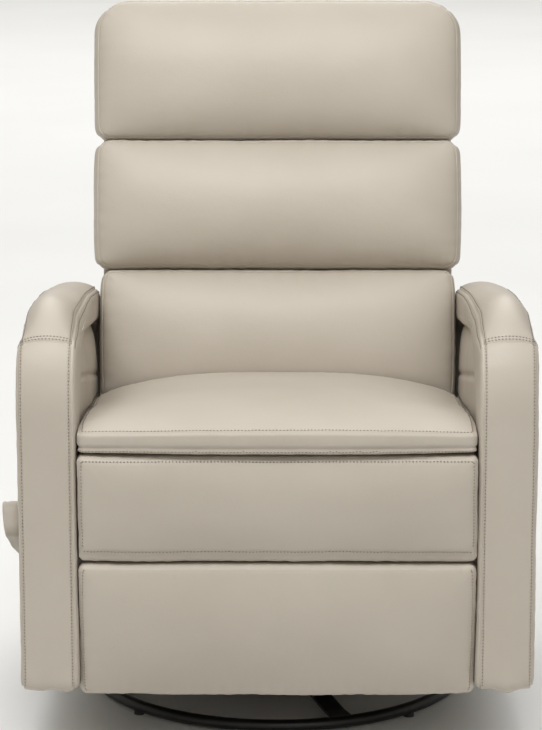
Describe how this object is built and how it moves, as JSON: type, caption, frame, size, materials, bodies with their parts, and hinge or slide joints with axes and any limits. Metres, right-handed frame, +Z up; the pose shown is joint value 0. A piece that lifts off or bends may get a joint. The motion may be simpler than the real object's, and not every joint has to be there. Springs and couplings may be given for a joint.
{
  "type": "glider nursery chair",
  "caption": "Leather nursery glider recliner on a swivel ring base, with three back pillows, loop arms, a two-panel footrest and a side lever.",
  "frame": {"origin": "on the floor, under the centre of the whole chair's box at rest", "axes": "+Z up, -Y the way the sitter faces, +X to the right seen from the front"},
  "size_m": [0.781, 0.8037, 1.0454],
  "materials": {
    "leather": "smooth greige leather, satin",
    "black_steel": "satin black powder coat",
    "mechanism_steel": "dark satin",
    "zinc_fasteners": "zinc plated",
    "spring_wire": "oiled",
    "frame_wood": "raw sawn",
    "black_nylon": "matte",
    "deck_cloth": "woven deck cloth"
  },
  "bodies": {
    "base": {"base_ring": "black_steel", "base_glides": "black_nylon", "base_spokes": "black_steel", "base_hub_plate": "black_steel", "lower_bearing_race": "zinc_fasteners", "bearing_balls": "zinc_fasteners"},
    "swivel_frame": {"upper_bearing_race": "zinc_fasteners", "swivel_plate": "black_steel", "kingpin": "zinc_fasteners", "kingpin_nut": "zinc_fasteners", "swivel_cross_rails": "black_steel", "glider_brackets": "black_steel", "upper_pivot_pins": "zinc_fasteners", "bracket_bolts": "zinc_fasteners"},
    "front_links": {"front_glide_links": "mechanism_steel", "front_link_bushes": "black_nylon"},
    "rear_links": {"rear_glide_links": "mechanism_steel", "rear_link_bushes": "black_nylon"},
    "carriage": {"glide_rails": "mechanism_steel", "lower_pivot_pins": "zinc_fasteners", "side_plates": "mechanism_steel", "cross_tubes": "mechanism_steel", "seat_side_rails": "frame_wood", "seat_cross_rails": "frame_wood", "seat_springs": "spring_wire", "seat_deck": "deck_cloth", "seat_cushion": "leather", "arm_frames": "frame_wood", "arm_pad_left": "leather", "arm_pad_right": "leather", "arm_panels_left": "leather", "arm_panels_right": "leather", "arm_spacer_blocks": "frame_wood", "arm_bolts": "zinc_fasteners", "rear_lower_panel": "leather"},
    "back": {"back_stiles": "frame_wood", "back_cross_rails": "frame_wood", "back_springs": "spring_wire", "back_hinge_brackets": "mechanism_steel", "back_hinge_pins": "zinc_fasteners", "back_side_panels": "leather", "back_rear_panel": "leather", "pillow_lumbar": "leather", "pillow_middle": "leather", "pillow_head": "leather"},
    "drive": {"drive_tube": "mechanism_steel", "drive_links": "mechanism_steel", "knee_rivets": "zinc_fasteners", "lever_handle": "leather", "lever_hub": "mechanism_steel", "lever_stud": "zinc_fasteners"},
    "foot_arms": {"foot_links": "mechanism_steel"},
    "ottoman": {"ottoman_brackets": "mechanism_steel", "foot_rivets": "zinc_fasteners", "ottoman_board": "frame_wood", "ottoman_pad": "leather", "ottoman_hinge_leaves": "mechanism_steel"},
    "flap": {"flap_board": "frame_wood", "flap_pad": "leather", "flap_hinge_leaves": "mechanism_steel"}
  },
  "joints": [
    {"name": "swivel", "type": "hinge", "parent": "base", "child": "swivel_frame", "pos_m": [0.0155, 0.034, 0], "axis": [0, 0, 1], "continuous": true},
    {"name": "glide", "type": "hinge", "parent": "swivel_frame", "child": "front_links", "pos_m": [0.0155, -0.086, 0.235], "axis": [1, 0, 0], "range_deg": [-18, 18]},
    {"name": "glide_level", "type": "hinge", "parent": "front_links", "child": "carriage", "pos_m": [0.0155, -0.086, 0.095], "axis": [1, 0, 0], "range_deg": [-18.5, 18.5]},
    {"name": "rear_link_swing", "type": "hinge", "parent": "swivel_frame", "child": "rear_links", "pos_m": [0.0155, 0.154, 0.235], "axis": [1, 0, 0], "range_deg": [-18.5, 18.5]},
    {"name": "recline", "type": "hinge", "parent": "carriage", "child": "back", "pos_m": [0.0155, 0.174, 0.37], "axis": [-1, 0, 0], "range_deg": [0, 35]},
    {"name": "footrest", "type": "hinge", "parent": "carriage", "child": "drive", "pos_m": [0.0155, -0.172, 0.288], "axis": [-1, 0, 0], "range_deg": [0, 85]},
    {"name": "footrest_knee", "type": "hinge", "parent": "drive", "child": "foot_arms", "pos_m": [0.0155, -0.115, 0.096], "axis": [-1, 0, 0], "range_deg": [-98.6, 0]},
    {"name": "ottoman_turn", "type": "hinge", "parent": "foot_arms", "child": "ottoman", "pos_m": [0.0155, -0.316, 0.312], "axis": [-1, 0, 0], "range_deg": [0, 103.6]},
    {"name": "flap_fold", "type": "hinge", "parent": "ottoman", "child": "flap", "pos_m": [0.0155, -0.327, 0.314], "axis": [-1, 0, 0], "range_deg": [0, 7.2]}
  ],
  "couplings": [
    {"joint": "glide_level", "follows": "glide", "ratio": -1},
    {"joint": "rear_link_swing", "follows": "glide", "ratio": 1},
    {"joint": "footrest_knee", "follows": "footrest", "ratio": -1.157},
    {"joint": "ottoman_turn", "follows": "footrest", "ratio": 1.2158},
    {"joint": "flap_fold", "follows": "footrest", "ratio": 0.08089}
  ]
}
